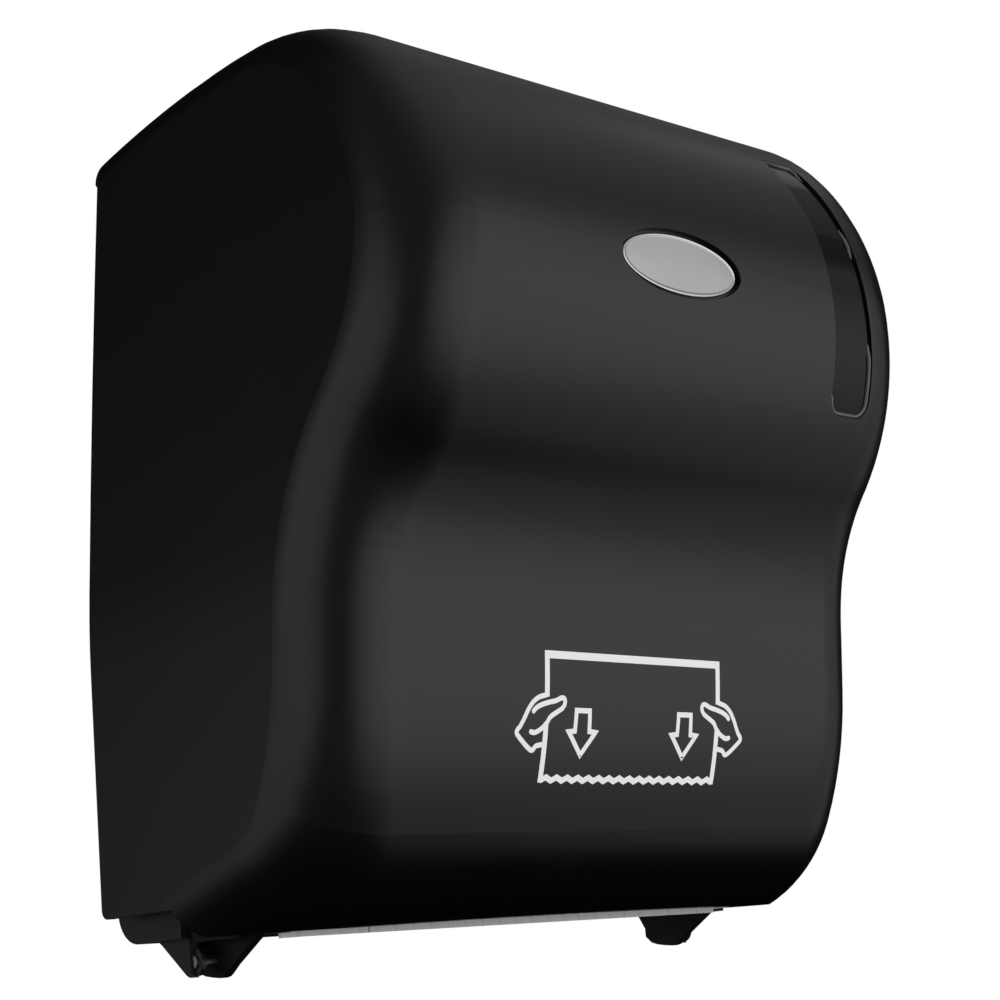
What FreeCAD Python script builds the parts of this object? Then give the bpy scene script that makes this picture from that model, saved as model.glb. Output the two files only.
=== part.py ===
"""Wall-hung mechanical towel dispenser, as a parametric FreeCAD document.

Every sub-part is drawn with +Z up from the level of the feet and with the wall at Y = 0 and
the front towards -Y. A placement then lowers it by foot_level, so that the origin is the centre
of the four wall screws. Depths from the wall are positive numbers in the sheet.
"""
import FreeCAD, Part
import math
import os
import re

from FreeCAD import Rotation, Vector

SIZES = {
    # overall
    "foot_level": -190,
    "rear_edge": 2.5,
    "side_rear_edge": 4,
    "side_tab_height": 348,
    # front cover, side view
    "cover_wall": 2.8,
    "cover_top": 377.5,
    "cover_top_rear": 365.1,
    "shoulder_depth": 115.4,
    "shoulder_radius": 105.6,
    "belly_radius": 131.8,
    "belly_turn": 39.9,
    "waist_radius": 102,
    "skirt_slope": 6.9,
    "waist_run": 29,
    "skirt_radius": 179.5,
    "skirt_turn": 26.8,
    "curl_radius": 69,
    "curl_turn": 73,
    "rim_height": 14.85,
    "rim_end_height": 14,
    "rim_half": 132,
    "rim_depth_low": 112,
    "side_foot_depth": 65,
    "side_foot_height": 15.6,
    "side_bend_depth": 56.8,
    "side_bend_height": 21.7,
    "side_step_depth": 52,
    "side_rear_height": 27.4,
    "side_corner_radius": 4,
    # front cover, front view
    "cover_half": 160.5,
    "bend_start": 130,
    "bend_radius": 500,
    "bend_turn": 3.64,
    "barrel_radius": 8400,
    "corner_radius": 36.5,
    "top_corner_radius": 15.5,
    # roll window
    "window_low": 219.2,
    "window_high": 342.7,
    "window_gap": 0.4,
    "window_sink": 1.2,
    "window_rear": 150,
    "window_front": 240,
    "pane_thickness": 2,
    # nameplate
    "plate_across": -7.7,
    "plate_height": 268.8,
    "plate_long": 34.2,
    "plate_short": 12.9,
    "plate_margin": 1.6,
    "plate_floor": 218.3,
    "plate_thickness": 1.2,
    # cover hinge
    "hinge_depth": 44,
    "hinge_height": 7,
    "pin_radius": 2.5,
    "running_gap": 0.05,
    "tab_inner": 131,
    "tab_outer": 135,
    "tab_skin": 1,
    "tab_low_inside": 150,
    "lug_inner": 142,
    "lug_outer": 146,
    "lug_skin": 0.8,
    "pin_end_gap": 0.3,
    # chassis
    "chassis_half": 150,
    "chassis_half_top": 138,
    "chassis_shoulder": 210,
    "chassis_low": 16.5,
    "chassis_high": 352,
    "chassis_wall": 2.5,
    "back_thickness": 3,
    "rim_depth": 22,
    "low_side_depth": 44,
    "screw_across": 180,
    "screw_up": 200,
    "screw_hole_radius": 2.75,
    "boss_radius": 9,
    "boss_depth": 7,
    "rib_depth": 9,
    "rear_corner_radius": 14,
    # side frames
    "frame_inner": 118,
    "frame_thickness": 3.5,
    # drum
    "drum_depth": 99,
    "drum_height": 78,
    "drum_radius": 46,
    "shell_thickness": 2.5,
    "drum_half": 112,
    "cap_thickness": 4,
    "journal_radius": 9,
    "journal_end": 124,
    "shaft_radius": 5,
    "bush_outer": 13,
    "band_radius": 46.4,
    "band_floor": 44.8,
    "band_width": 14,
    "band_pitch": 80,
    "slot_half": 4,
    # knife
    "knife_half": 104,
    "carriage_low": 27,
    "carriage_high": 37,
    "carriage_half": 2.5,
    "blade_low": 30,
    "blade_high": 44.5,
    "blade_thickness": 0.8,
    "tooth_pitch": 4,
    "tooth_depth": 2.5,
    "roller_radius": 4,
    "roller_place": 32,
    # pinch rollers
    "pinch_radius": 9.8,
    "pinch_shaft_radius": 3,
    "pinch_distance": 56.5,
    "pinch_angle": 150,
    "pinch_width": 22,
    # outlet chute
    "chute_left": -99.2,
    "chute_right": 104.5,
    "chute_rear": 86,
    "chute_front": 100.2,
    "chute_wall": 2.2,
    "chute_low": 12.35,
    "rib_pitch": 9.4,
    "rib_radius": 2.4,
    "rib_height": 0.6,
    # roll arms
    "arm_inner": 116,
    "arm_thickness": 3,
    "arm_height": 262,
    "hub_depth": 104,
    "arm_pivot_depth": 12,
    "hub_shaft_radius": 5,
    # lock
    "lock_depth": 36,
    "lock_barrel_radius": 9,
    "lock_top": 372.5,
    "lock_housing_radius": 12,
    "lock_housing_top": 371.9,
    "lock_arm_low": 343,
    "lock_arm_top": 346,
}

doc = FreeCAD.newDocument("towel_dispenser")
sheet = doc.addObject("Spreadsheet::Sheet", "Sizes")
for row, (alias, value) in enumerate(SIZES.items(), start=1):
    sheet.set(f"A{row}", alias)
    sheet.set(f"B{row}", str(value))
    sheet.setAlias(f"B{row}", alias)
doc.recompute()

SUB_PARTS = []


def size(alias):
    """One driving dimension, as the sheet holds it."""
    return float(getattr(sheet, alias))


def bind(thing, prop, text):
    """Binds a property to an expression in which every alias is read from the sheet."""
    named = re.sub(r"[a-z][a-z_]{3,}", lambda word: "Sizes." + word.group(), str(text))
    thing.setExpression(prop, named)


def put(thing, across=0, depth=0, height=0):
    """Places a thing at an across, a depth from the wall and a height over the feet."""
    bind(thing, "Placement.Base.x", across)
    bind(thing, "Placement.Base.y", f"-({depth})")
    bind(thing, "Placement.Base.z", height)
    return thing


def box(name, across, depth, height):
    """A box from three (low, high) pairs of expressions."""
    thing = doc.addObject("Part::Box", name)
    for prop, (low, high) in zip(("Length", "Width", "Height"), (across, depth, height)):
        bind(thing, prop, f"({high}) - ({low})")
    return put(thing, across[0], depth[1], height[0])


TURNS = {
    "x": Rotation(Vector(0, 1, 0), 90),
    "y": Rotation(Vector(1, 0, 0), -90),
    "z": Rotation(),
}


def rod(name, axis, radius, start, end, depth=0, height=0, across=0):
    """A cylinder along X, Y (away from the wall is minus) or Z, from start to end."""
    thing = doc.addObject("Part::Cylinder", name)
    thing.Placement.Rotation = TURNS[axis]
    bind(thing, "Radius", radius)
    bind(thing, "Height", f"({end}) - ({start})")
    if axis == "x":
        return put(thing, start, depth, height)
    if axis == "y":
        return put(thing, across, end, height)
    return put(thing, across, depth, start)


def fuse(name, *things):
    thing = doc.addObject("Part::MultiFuse", name)
    thing.Shapes = list(things)
    thing.Refine = True
    return thing


def common(name, *things):
    thing = doc.addObject("Part::MultiCommon", name)
    thing.Shapes = list(things)
    return thing


def cut(name, base, *tools):
    tool = tools[0] if len(tools) == 1 else fuse(name + "_tools", *tools)
    thing = doc.addObject("Part::Cut", name)
    thing.Base = base
    thing.Tool = tool
    return thing


def tube(name, axis, outer, inner, start, end, depth=0, height=0, across=0):
    """A ring or sleeve: one cylinder bored by another."""
    return cut(
        name,
        rod(name + "_outside", axis, outer, start, end, depth, height, across),
        rod(name + "_bore", axis, inner, f"{start} - 1", f"{end} + 1", depth, height, across),
    )


def group(name, *things):
    """Separate solids that share one node."""
    thing = doc.addObject("Part::Compound", name)
    thing.Links = list(things)
    return thing


def mirrored(name, source):
    """The same piece on the other side of the middle plane."""
    thing = doc.addObject("Part::Mirroring", name)
    thing.Source = source
    thing.Normal = Vector(1, 0, 0)
    return thing


def sub_part(thing, label):
    """Names a finished piece after its node."""
    thing.Label = label
    SUB_PARTS.append(thing)
    return thing


def pad(name, plane, geometry, start, end):
    """A body padded from a closed sketch on one of its origin planes, from start to end."""
    body = doc.addObject("PartDesign::Body", name)
    sketch = body.newObject("Sketcher::SketchObject", name + "_outline")
    origin = next(f for f in body.Origin.OriginFeatures if f.Role == plane)
    sketch.AttachmentSupport = [(origin, "")]
    sketch.MapMode = "FlatFace"
    bind(sketch, "AttachmentOffset.Base.z", start)
    sketch.addGeometry(geometry, False)
    feature = body.newObject("PartDesign::Pad", name + "_pad")
    feature.Profile = sketch
    bind(feature, "Length", f"({end}) - ({start})")
    body.Tip = feature
    return body


def polygon(points):
    """The straight edges of a closed outline."""
    corners = [Vector(a, b, 0) for a, b in points]
    return [Part.LineSegment(a, b) for a, b in zip(corners, corners[1:] + corners[:1])]


def side_pad(name, points, start, end):
    """A plate whose outline is given as depths and heights, from start to end across."""
    return pad(name, "YZ_Plane", polygon([(-depth, height) for depth, height in points]), start, end)


def front_pad(name, points, start, end):
    """A plate whose outline is given as across and heights, between two depths."""
    return pad(name, "XZ_Plane", polygon(points), start, end)


def polar(centre, radius, degrees):
    turn = math.radians(degrees)
    return (centre[0] + radius * math.cos(turn), centre[1] + radius * math.sin(turn))


def arc(centre, radius, start, end):
    """An arc through three points, from one angle to another."""
    points = [polar(centre, radius, a) for a in (start, (start + end) / 2, end)]
    return Part.Arc(*[Vector(a, b, 0) for a, b in points])


# ---------------------------------------------------------------- front cover


class SideView:
    """The cover's side view: seven tangent stretches from the rear of the top to the lower rim.

    Points are (depth, height). Each stretch keeps its centre when the wall is stepped inwards.
    """

    def __init__(self):
        run = size("shoulder_depth") - size("rear_edge")
        rise = size("cover_top") - size("cover_top_rear")
        self.crown = (run * run + rise * rise) / (2 * rise)
        self.crown_centre = (size("shoulder_depth"), size("cover_top") - self.crown)
        self.crown_end = 90 + math.degrees(math.asin(run / self.crown))
        self.shoulder = size("shoulder_radius")
        self.shoulder_centre = (size("shoulder_depth"), size("cover_top") - self.shoulder)
        self.front = size("shoulder_depth") + self.shoulder
        self.belly = size("belly_radius")
        self.belly_centre = (self.front - self.belly, self.shoulder_centre[1])
        self.turn = size("belly_turn")
        self.waist = size("waist_radius")
        swing = polar((0, 0), self.belly + self.waist, -self.turn)
        self.waist_centre = (self.belly_centre[0] + swing[0], self.belly_centre[1] + swing[1])
        self.slope = size("skirt_slope")
        fall = polar((0, 0), size("waist_run"), -90 - self.slope)
        waist_low = polar(self.waist_centre, self.waist, 180 - self.slope)
        self.skirt_start = (waist_low[0] + fall[0], waist_low[1] + fall[1])
        self.skirt = size("skirt_radius")
        self.skirt_centre = polar(self.skirt_start, self.skirt, 180 - self.slope)
        self.skirt_end = size("skirt_turn")
        self.curl = size("curl_radius")
        self.curl_centre = polar(self.skirt_centre, self.skirt - self.curl, -self.skirt_end)
        self.curl_end = size("curl_turn")

    def stretches(self, inset):
        """The tangent stretches, stepped inwards by inset."""
        leg_top = polar(self.waist_centre, self.waist + inset, 180 - self.slope)
        leg_foot = polar(self.skirt_centre, self.skirt - inset, -self.slope)
        return [
            arc(self.crown_centre, self.crown - inset, self.crown_end, 90),
            arc(self.shoulder_centre, self.shoulder - inset, 90, 0),
            arc(self.belly_centre, self.belly - inset, 0, -self.turn),
            arc(self.waist_centre, self.waist + inset, 180 - self.turn, 180 - self.slope),
            Part.LineSegment(Vector(*leg_top, 0), Vector(*leg_foot, 0)),
            arc(self.skirt_centre, self.skirt - inset, -self.slope, -self.skirt_end),
            arc(self.curl_centre, self.curl - inset, -self.skirt_end, -self.curl_end),
        ]

    def rear(self, inset):
        return polar(self.crown_centre, self.crown - inset, self.crown_end)

    def rim(self, inset):
        return polar(self.curl_centre, self.curl - inset, -self.curl_end)


VIEW = SideView()


def open_chain(points):
    corners = [Vector(a, b, 0) for a, b in points]
    return [Part.LineSegment(a, b) for a, b in zip(corners, corners[1:])]


def to_wall_side(curves):
    """Turns depths into the sketch's own direction, in which the front is at minus."""
    for curve in curves:
        curve.mirror(Vector(0, 0, 0), Vector(0, 1, 0))
    return curves


TAIL = 60
BELOW = -20


def tail(inset):
    """The lower rim, and where the surface gets to when it runs straight on from there."""
    rim = VIEW.rim(inset)
    return [rim, polar(rim, TAIL, -90 - size("curl_turn"))]


def outer_outline():
    """The cover's side view before its lower edge is trimmed."""
    rim, end = tail(0)
    rear, tab = size("side_rear_edge"), size("side_tab_height")
    top = VIEW.rear(0)
    loop = [rim, end, (end[0], BELOW), (rear, BELOW), (rear, tab), (top[0], tab + 2), top]
    return to_wall_side(VIEW.stretches(0) + open_chain(loop))


def inner_outline(inset):
    """The hollow's side view, which runs out through the open bottom and the open back."""
    rim, end = tail(inset)
    rear = VIEW.rear(inset)
    behind = polar(rear, 35, 90 + VIEW.crown_end)
    loop = [rim, end, (end[0], BELOW), (behind[0], BELOW), behind, rear]
    return to_wall_side(VIEW.stretches(inset) + open_chain(loop))


def lower_trim_outline():
    """What is taken off below: rim, side foot, step up over the hinge, round rear corner."""
    rim = (size("rim_depth_low"), size("rim_end_height"))
    foot = (size("side_foot_depth"), size("side_foot_height"))
    turn = (size("side_bend_depth"), size("side_bend_height"))
    low = size("side_rear_height")
    step = (size("side_step_depth"), low)
    rear, radius = size("side_rear_edge"), size("side_corner_radius")
    bend = Part.Arc(Vector(*foot, 0), Vector(*turn, 0), Vector(*step, 0))
    corner = arc((rear + radius, low + radius), radius, 270, 180)
    ahead, behind, under = rim[0] + 30, -10, BELOW - 5
    outside = [(rear, low + radius), (behind, low + radius), (behind, under), (ahead, under),
               (ahead, rim[1])]
    edges = open_chain([(ahead, rim[1]), rim, foot])
    edges += [bend, *open_chain([step, (rear + radius, low)]), corner, *open_chain(outside)]
    return to_wall_side(edges)


def front_outline(inset):
    """The front view: upright sides that bend, then lean in along a very large arc to the top."""
    half = size("cover_half") - inset
    start, turn = size("bend_start"), size("bend_turn")
    bend, barrel = size("bend_radius") - inset, size("barrel_radius") - inset
    below, above = -60, 420
    bend_centre = (half - bend, start)
    barrel_centre = polar(bend_centre, bend - barrel, turn)
    top_turn = math.degrees(math.asin((above - barrel_centre[1]) / barrel))
    right = [
        Part.LineSegment(Vector(half, below, 0), Vector(half, start, 0)),
        arc(bend_centre, bend, 0, turn),
        arc(barrel_centre, barrel, turn, top_turn),
    ]
    left = [curve.copy() for curve in right]
    for curve in left:
        curve.mirror(Vector(0, 0, 0), Vector(0, 1, 0))
    top = right[-1].EndPoint.x
    return right + left + [
        Part.LineSegment(Vector(top, above, 0), Vector(-top, above, 0)),
        Part.LineSegment(Vector(-half, below, 0), Vector(half, below, 0)),
    ]


def cover_block(name, inset, outline):
    """The side view padded across, trimmed to the front view. Its long edges are still sharp."""
    side = pad(name + "_side", "YZ_Plane", outline, -200, 200)
    front = pad(name + "_front", "XZ_Plane", front_outline(inset), -60, 300)
    return common(name, side, front)


def rounded_block(name, inset, outline):
    """The block with its two long front edges rounded: small on top, large down the front."""
    block = cover_block(name + "_block", inset, outline)
    doc.recompute()
    rounded = doc.addObject("Part::Fillet", name)
    rounded.Base = block
    edges = []
    for number, edge in enumerate(block.Shape.Edges, start=1):
        middle = edge.CenterOfMass
        bounds = edge.BoundBox
        on_a_side = abs(middle.x) > 125 and bounds.XLength < 60
        behind = -middle.y < size("shoulder_depth") - 70 and middle.z < size("side_tab_height") + 3
        upright = bounds.YLength < 0.01
        seam = bounds.ZLength < 0.01
        if on_a_side and not (behind or upright or seam):
            downwards = sorted((v.Point for v in edge.Vertexes), key=lambda point: -point.z)
            edges.append((number, *[corner_radius(point, inset) for point in downwards]))
    rounded.Edges = edges
    return rounded


def corner_radius(point, inset):
    """The long edge's radius at one joint between stretches."""
    if -point.y < size("shoulder_depth") + 1 and point.z > 300:
        return size("top_corner_radius") - inset
    return size("corner_radius") - inset


def window_corners():
    """The window's front view: across, height and corner radius, from the lower inner corner."""
    low, high = size("window_low"), size("window_high")
    return [
        (90.6, low, 7), (89.9, 262, 300), (85, high, 1.5), (106.6, high, 4),
        (111.4, 299, 200), (116.6, 241, 150), (117, low, 8),
    ]


def stepped_in(corners, gap):
    """The same corners with every side moved inwards by gap."""
    result = []
    for before, here, after in zip(corners[-1:] + corners[:-1], corners, corners[1:] + corners[:1]):
        arrive = Vector(here[0] - before[0], here[1] - before[1], 0).normalize()
        leave = Vector(after[0] - here[0], after[1] - here[1], 0).normalize()
        inward = Vector(arrive.y + leave.y, -arrive.x - leave.x, 0)
        reach = gap / (1 + arrive.dot(leave))
        point = Vector(here[0], here[1], 0) + inward * reach
        result.append((point.x, point.y, here[2] - gap))
    return result


def rounded_outline(corners):
    """Straight sides joined by tangent arcs at the corners."""
    arcs = []
    for before, here, after in zip(corners[-1:] + corners[:-1], corners, corners[1:] + corners[:1]):
        point = Vector(here[0], here[1], 0)
        arrive = (point - Vector(before[0], before[1], 0)).normalize()
        leave = (Vector(after[0], after[1], 0) - point).normalize()
        half_turn = arrive.getAngle(leave) / 2
        setback = here[2] * math.tan(half_turn)
        bulge = here[2] * (1 / math.cos(half_turn) - 1)
        inward = (leave - arrive).normalize()
        arcs.append((point - arrive * setback, point + inward * bulge, point + leave * setback))
    sides = [Part.LineSegment(a[2], b[0]) for a, b in zip(arcs, arcs[1:] + arcs[:1])]
    return [Part.Arc(*points) for points in arcs] + sides


def window_outline(gap):
    return rounded_outline(stepped_in(window_corners(), gap))


def ellipse_prism(name, margin, start, end):
    """An oval column towards the front, for the nameplate and its recess."""
    oval = doc.addObject("Part::Ellipse", name + "_oval")
    bind(oval, "MajorRadius", f"plate_long + {margin}")
    bind(oval, "MinorRadius", f"plate_short + {margin}")
    oval.Placement.Rotation = Rotation(Vector(1, 0, 0), 90)
    put(oval, "plate_across", start, "plate_height")
    column = doc.addObject("Part::Extrusion", name)
    column.Base = oval
    column.DirMode = "Custom"
    column.Dir = Vector(0, -1, 0)
    column.Solid = True
    bind(column, "LengthFwd", f"({end}) - ({start})")
    return column


def make_cover():
    wall = size("cover_wall")
    outside = rounded_block("cover_outside", 0, outer_outline())
    hollow = rounded_block("cover_hollow", wall, inner_outline(wall))
    shell = cut("cover_shell", outside, hollow)
    seat = ellipse_prism("plate_seat", 3.5, "plate_floor - 3", "plate_floor + 8")
    seat_backing = common("plate_backing", seat, outside)
    lock_boss = rod("lock_boss", "z", 15, 355, 380, "lock_depth", 0, 0)
    lock_backing = common("lock_backing", lock_boss, outside)
    lower_trim = pad("lower_trim", "YZ_Plane", lower_trim_outline(), -200, 200)
    body = fuse("cover_with_backing", cut("cover_trimmed", shell, lower_trim), seat_backing, lock_backing)
    window = pad("window_opening", "XZ_Plane", window_outline(0), "window_rear", "window_front")
    recess = ellipse_prism("plate_recess", "plate_margin", "plate_floor", "plate_floor + 10")
    lock_hole = rod("lock_hole", "z", "lock_housing_radius", 340, 390, "lock_depth", 0, 0)
    rim_cut = pad("rim_cut", "XZ_Plane", rim_cut_outline(), 92, 130)
    sub_part(cut("front_cover", body, window, recess, lock_hole, rim_cut), "front_cover")


def rim_cut_outline():
    """What is taken off under the front rim, which leaves it a shallow arch."""
    half, end, below = size("rim_half"), size("rim_end_height"), 8
    arch = Part.Arc(Vector(-half, end, 0), Vector(0, size("rim_height"), 0), Vector(half, end, 0))
    return [arch, *open_chain([(half, end), (half, below), (-half, below), (-half, end)])]


def make_window():
    sink = size("window_sink")
    back = sink + size("pane_thickness")
    outside = cover_block("pane_outside", sink, inner_outline(sink))
    inside = cover_block("pane_inside", back, inner_outline(back))
    outline = pad("pane_outline", "XZ_Plane", window_outline(size("window_gap")),
                  "window_rear", "window_front")
    sub_part(cut("roll_window", common("pane_block", outside, outline), inside), "roll_window")


def make_nameplate():
    sub_part(ellipse_prism("nameplate", 0, "plate_floor", "plate_floor + plate_thickness"), "nameplate")


# ---------------------------------------------------------------- chassis and cover hinge


def chassis_points(inset):
    low = size("chassis_low") + inset
    high = size("chassis_high") - inset
    half = size("chassis_half") - inset
    top = size("chassis_half_top") - inset
    shoulder = size("chassis_shoulder")
    corner = 10
    return [
        (half, low), (half, shoulder), (top, high - corner), (top - corner, high),
        (corner - top, high), (-top, high - corner), (-half, shoulder), (-half, low),
    ]


def make_chassis():
    whole = front_pad("chassis_block", chassis_points(0), 0, "low_side_depth")
    hollow = front_pad("chassis_hollow", chassis_points(size("chassis_wall")), "back_thickness", 60)
    tray = cut("chassis_tray", whole, hollow)
    clear = box("chassis_front_clear", (-200, 200), ("rim_depth", 60), (112, 400))
    slope = side_pad("chassis_slope", [(22, 112), (60, 112), (60, 70), (43.9, 70)], -200, 200)
    rear = pad("chassis_corner", "YZ_Plane", rear_corner(), -200, 200)
    notches = [
        box("tab_notch_left", (-140.5, -127), (20, 60), (5, 30)),
        box("tab_notch_right", (127, 140.5), (20, 60), (5, 30)),
    ]
    screws = [
        rod(f"wall_hole_{n}", "y", "screw_hole_radius", -5, 20, 0, f"{h} - foot_level", x)
        for n, (x, h) in enumerate(screw_places())
    ]
    bosses = [
        rod(f"wall_boss_{n}", "y", "boss_radius", 0, "boss_depth", 0, f"{h} - foot_level", x)
        for n, (x, h) in enumerate(screw_places())
    ]
    ribs = [
        box(f"back_rib_{n}", (f"{x} - 1", f"{x} + 1"), (1, "rib_depth"),
            ("chassis_low + rear_corner_radius", "chassis_high - 1"))
        for n, x in enumerate((-60, 0, 60))
    ]
    ribs += [
        box(f"cross_rib_{n}", (-112, 112), (1, "rib_depth"), (f"{h} - 1", f"{h} + 1"))
        for n, h in enumerate((160, 225, 300))
    ]
    lugs = [hinge_lug("left_lug", -1), hinge_lug("right_lug", 1)]
    tongue = box("keeper_tongue", (14, 26), ("rim_depth - 1", 43.5), (349.5, "chassis_high"))
    lip = box("keeper_lip", (14, 26), (40.5, 43.5), (341, 350))
    body = fuse("chassis_body", cut("chassis_cleared", tray, clear, slope, rear, *notches),
                *bosses, *ribs, *lugs, tongue, lip)
    eyes = rod("lug_eyes", "x", "pin_radius + running_gap", "lug_skin - lug_outer", "lug_outer - lug_skin",
               "hinge_depth", "hinge_height")
    sub_part(cut("chassis", body, eyes, *screws), "chassis")


def screw_places():
    """Across and up from the screw centre, as expressions."""
    return [(f"{a} * screw_across / 2", f"{b} * screw_up / 2") for a in (-1, 1) for b in (-1, 1)]


def rear_corner():
    """The material taken off the lower rear corner, which leaves it round."""
    low, radius = size("chassis_low"), size("rear_corner_radius")
    round_edge = arc((-radius, low + radius), radius, 0, -90)
    return [
        round_edge,
        *open_chain([(-radius, low), (-radius, low - 9), (9, low - 9), (9, low + radius),
                     (0, low + radius)]),
    ]


def hinge_lug(name, side):
    """A plate that hangs from the chassis corner, with a round eye for the hinge pin."""
    points = [(25, 30), (21.5, 17), (24.6, 15), (40.3, 2.3), (42.3, 1.2), (43.5, 1), (43.5, 30)]
    low, high = sorted((side * size("lug_inner"), side * size("lug_outer")))
    plate = side_pad(name + "_plate", points, low, high)
    inner = side * size("lug_inner")
    start, end = sorted((inner, inner + side * 2))
    eye = rod(name + "_eye", "x", 5.5, start, end, "hinge_depth", "hinge_height")
    return fuse(name, plate, eye)


def make_hinge_brackets():
    """The cover's own hinge tabs, each on an arm that is welded to the inside of the cover."""
    points = [
        (27, 16), (31, 9.3), (31, 5.5), (34.5, 2.4), (38.5, 1.2), (43, 0.5), (47.5, 0), (50, 0.4),
        (51.6, 1.2), (56.4, 4.6), (73.3, 14.4), (75.5, 16),
    ]
    tab = side_pad("bracket_tab", points, "tab_inner", "tab_outer")
    inside = "cover_half - cover_wall - 0.05"
    low_inside = "tab_low_inside"
    web = box("bracket_web", ("tab_inner", low_inside), (52, 66), (14.3, 17.5))
    upright = box("bracket_upright", (f"{low_inside} - 3", low_inside), (52, 66), (14.3, 40))
    shelf = box("bracket_shelf", (f"{low_inside} - 3", inside), (52, 66), (37, 40))
    ear = box("bracket_ear", (f"{inside} - 3", inside), (52, 66), (37, 52))
    hole = rod("bracket_hole", "x", "pin_radius", "tab_inner + tab_skin", 145,
               "hinge_depth", "hinge_height")
    right = cut("hinge_bracket_right", fuse("bracket_body", tab, web, upright, shelf, ear), hole)
    sub_part(right, "hinge_bracket_right")
    sub_part(mirrored("hinge_bracket_left", right), "hinge_bracket_left")
    pin = rod("hinge_pin_right", "x", "pin_radius", "tab_inner + tab_skin + pin_end_gap",
              "lug_outer - lug_skin - pin_end_gap", "hinge_depth", "hinge_height")
    sub_part(pin, "hinge_pin_right")
    sub_part(mirrored("hinge_pin_left", pin), "hinge_pin_left")


# ---------------------------------------------------------------- side frames


def pinch_centre():
    angle = math.radians(size("pinch_angle"))
    reach = size("pinch_distance")
    return (
        size("drum_depth") + reach * math.cos(angle),
        size("drum_height") + reach * math.sin(angle),
    )


def make_side_frames():
    inner = size("frame_inner")
    outer = inner + size("frame_thickness")
    back = size("back_thickness")
    points = [
        (back, 24), (back, 150), (34, 150), (120, 146), (134, 112), (145, 88), (140, 58), (118, 33),
        (97, 19), (30, 19),
    ]
    plate = side_pad("frame_plate", points, inner, outer)
    flange = box("frame_flange", (inner - 14, inner), (back, back + 3), (24, 150))
    stiffener = box("frame_stiffener", (outer, outer + 2), (10, 60), (118, 121))
    pinch_depth, pinch_height = pinch_centre()
    body = fuse("frame_body", plate, flange, stiffener)
    holes = [
        rod("drum_seat", "x", "bush_outer", inner - 5, outer + 5, "drum_depth", "drum_height"),
        rod("pinch_seat", "x", 6, inner - 5, outer + 5, pinch_depth, pinch_height),
    ]
    holes += [
        rod(f"flange_hole_{n}", "y", 2.05, -5, 20, 0, h, inner - 7)
        for n, h in enumerate(FRAME_SCREW_HEIGHTS)
    ]
    right = cut("side_frame_right", body, *holes)
    sub_part(right, "side_frame_right")
    sub_part(mirrored("side_frame_left", right), "side_frame_left")


FRAME_SCREW_HEIGHTS = (36, 87, 138)


def make_frame_screws():
    """Pan-head screws that hold the two side frames to the chassis."""
    screws = []
    for side in (-1, 1):
        for n, height in enumerate(FRAME_SCREW_HEIGHTS):
            across = side * (size("frame_inner") - 7)
            tag = f"{'right' if side > 0 else 'left'}_{n}"
            head = rod(f"screw_head_{tag}", "y", 3.8, 6, 8.6, 0, height, across)
            shank = rod(f"screw_shank_{tag}", "y", 2, 0.5, 6, 0, height, across)
            socket = rod(f"screw_socket_{tag}", "y", 1.6, 7.2, 12, 0, height, across)
            screws.append(cut(f"frame_screw_{tag}", fuse(f"screw_{tag}", head, shank), socket))
    sub_part(group("frame_screws", *screws), "frame_screws")


def make_tie_bars():
    inner = "frame_inner"
    for name, depth, height in (("rear_tie_bar", 24, 138), ("front_tie_bar", 113, 137)):
        sub_part(rod(name, "x", 4, f"-{inner}", inner, depth, height), name)


# ---------------------------------------------------------------- drum


def drum_rod(name, radius, start, end):
    return rod(name, "x", radius, start, end, "drum_depth", "drum_height")


def half_space(name, upper):
    low, high = ("drum_height", "drum_height + 60") if upper else ("drum_height - 60", "drum_height")
    return box(name, (-150, 150), ("drum_depth - 60", "drum_depth + 60"), (low, high))


def drum_box(name, across, tangent, radial):
    """A box set by its distances before and above the drum's axis."""
    depth = tuple(f"drum_depth + ({v})" for v in tangent)
    height = tuple(f"drum_height + ({v})" for v in radial)
    return box(name, across, depth, height)


def drum_shell():
    """The whole drum skin, with three shallow grooves for the grip bands."""
    skin = tube("drum_skin", "x", "drum_radius", "drum_radius - shell_thickness",
                "-drum_half", "drum_half", "drum_depth", "drum_height")
    grooves = [
        tube(f"band_groove_{n}", "x", "drum_radius + 2", "band_floor",
             f"{n} * band_pitch - band_width / 2", f"{n} * band_pitch + band_width / 2",
             "drum_depth", "drum_height")
        for n in (-1, 0, 1)
    ]
    return cut("drum_skin_grooved", skin, *grooves)


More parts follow.
